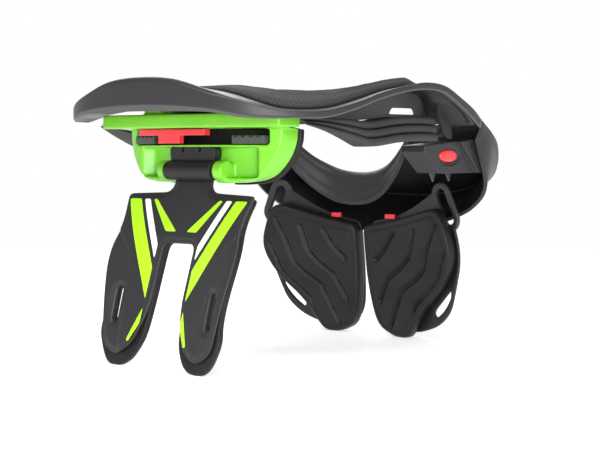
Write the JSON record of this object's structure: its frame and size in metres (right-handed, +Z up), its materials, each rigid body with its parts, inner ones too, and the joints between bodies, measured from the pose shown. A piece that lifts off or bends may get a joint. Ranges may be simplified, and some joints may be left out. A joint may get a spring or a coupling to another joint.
{
  "type": "motocross neck brace",
  "caption": "Neck brace with a ring round the neck, a forked back strut on a hinge, a front half that swings open, chest pads and side latches.",
  "frame": {"origin": "on the floor, below the middle of the brace's box", "axes": "+X to the wearer's right, +Y forward (the chest side), +Z up"},
  "size_m": [0.276, 0.346, 0.2139],
  "materials": {
    "chassis_plastic": "moulded nylon, fine grain",
    "black_plastic": "moulded, satin",
    "lime_plastic": "moulded, semi-gloss",
    "red_plastic": "moulded, semi-gloss",
    "grey_plastic": "moulded, satin",
    "eva_foam": "moulded foam with a leathery skin",
    "shoulder_foam": "layered foam, matt",
    "neck_fabric": "spacer mesh over foam",
    "steel": "turned pin"
  },
  "bodies": {
    "rear": {"rear_chassis": "chassis_plastic", "neck_pad": "neck_fabric", "shoulder_pad_upper_right": "shoulder_foam", "shoulder_pad_upper_left": "shoulder_foam", "shoulder_pad_middle_right": "shoulder_foam", "shoulder_pad_middle_left": "shoulder_foam", "shoulder_pad_lower_right": "shoulder_foam", "shoulder_pad_lower_left": "shoulder_foam", "thoracic_carrier": "lime_plastic", "carrier_backing": "black_plastic", "adjuster_block_right": "grey_plastic", "adjuster_block_left": "grey_plastic", "hinge_bracket": "black_plastic", "hinge_pin": "steel", "pivot_pin": "steel"},
    "front": {"front_chassis": "chassis_plastic", "latch_housing_right": "chassis_plastic", "latch_housing_left": "chassis_plastic", "collar_pad": "eva_foam", "chest_plate_right": "black_plastic", "chest_plate_left": "black_plastic", "chest_pad_right": "eva_foam", "chest_pad_left": "eva_foam", "lock_tab_right": "red_plastic", "lock_tab_left": "red_plastic"},
    "strut": {"strut_shell": "chassis_plastic", "strut_liner": "eva_foam"},
    "lever": {"size_lever": "red_plastic"},
    "button_right": {"release_button_right": "red_plastic"},
    "button_left": {"release_button_left": "red_plastic"}
  },
  "joints": [
    {"name": "front_open", "type": "hinge", "parent": "rear", "child": "front", "pos_m": [-0.129, 0.076, 0.17], "axis": [0, 0, 1], "range_deg": [0, 45]},
    {"name": "strut_fold", "type": "hinge", "parent": "rear", "child": "strut", "pos_m": [0, -0.1171, 0.1445], "axis": [1, 0, 0], "range_deg": [-10, 45]},
    {"name": "size_slide", "type": "slide", "parent": "rear", "child": "lever", "axis": [-1, 0, 0], "range_m": [0, 0.006]},
    {"name": "button_right_press", "type": "slide", "parent": "front", "child": "button_right", "axis": [-1, 0, 0], "range_m": [0, 0.002], "stiffness_N_per_m": 400},
    {"name": "button_left_press", "type": "slide", "parent": "front", "child": "button_left", "axis": [1, 0, 0], "range_m": [0, 0.002], "stiffness_N_per_m": 400}
  ]
}
